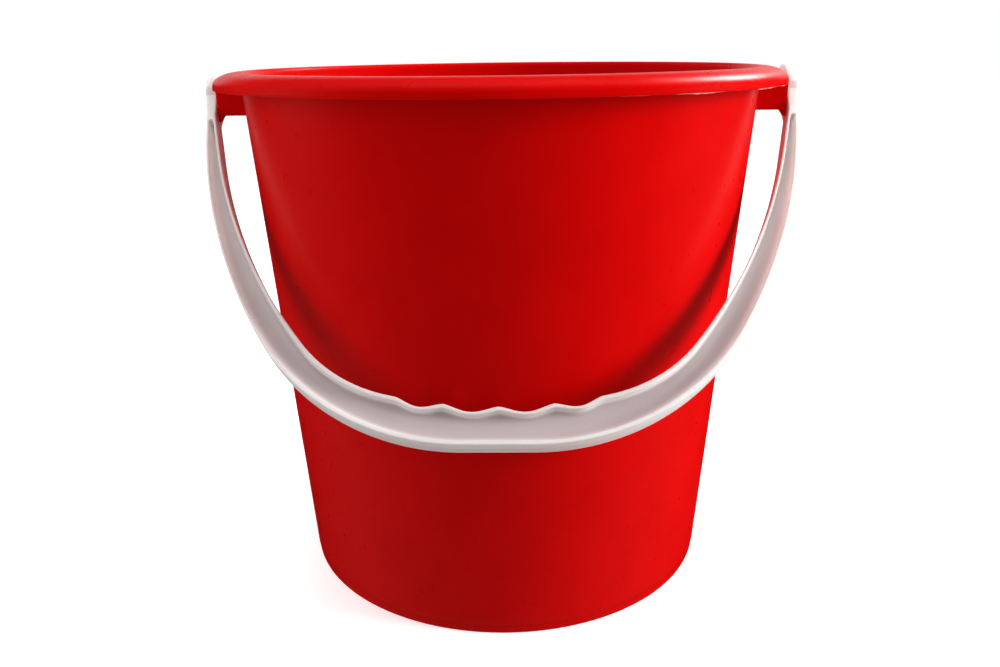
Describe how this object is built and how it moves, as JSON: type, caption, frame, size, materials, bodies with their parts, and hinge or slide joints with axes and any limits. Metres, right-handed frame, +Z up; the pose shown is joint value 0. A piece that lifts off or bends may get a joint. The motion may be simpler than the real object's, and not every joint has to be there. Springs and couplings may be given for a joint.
{
  "type": "wash bucket",
  "caption": "Round tapered moulded wash bucket with a rolled rim, side ears and a swinging bail handle with a finger-waved grip.",
  "frame": {"origin": "on the ground, at the centre of the tub's foot ring", "axes": "+Z up, -Y towards the front, where the handle rests at its zero position, X through the two ears along the handle's pivot axis"},
  "size_m": [0.2958, 0.28, 0.258],
  "materials": {
    "tub_plastic": "opaque red polypropylene, satin gloss with a faint moulded texture",
    "handle_plastic": "milky white polypropylene, semi-gloss, slightly translucent"
  },
  "bodies": {
    "tub": {"tub": "tub_plastic"},
    "handle": {"handle": "handle_plastic"}
  },
  "joints": [
    {"name": "handle_swing", "type": "hinge", "parent": "tub", "child": "handle", "pos_m": [0, 0, 0.247], "axis": [-1, 0, 0], "range_deg": [0, 271.4]}
  ]
}
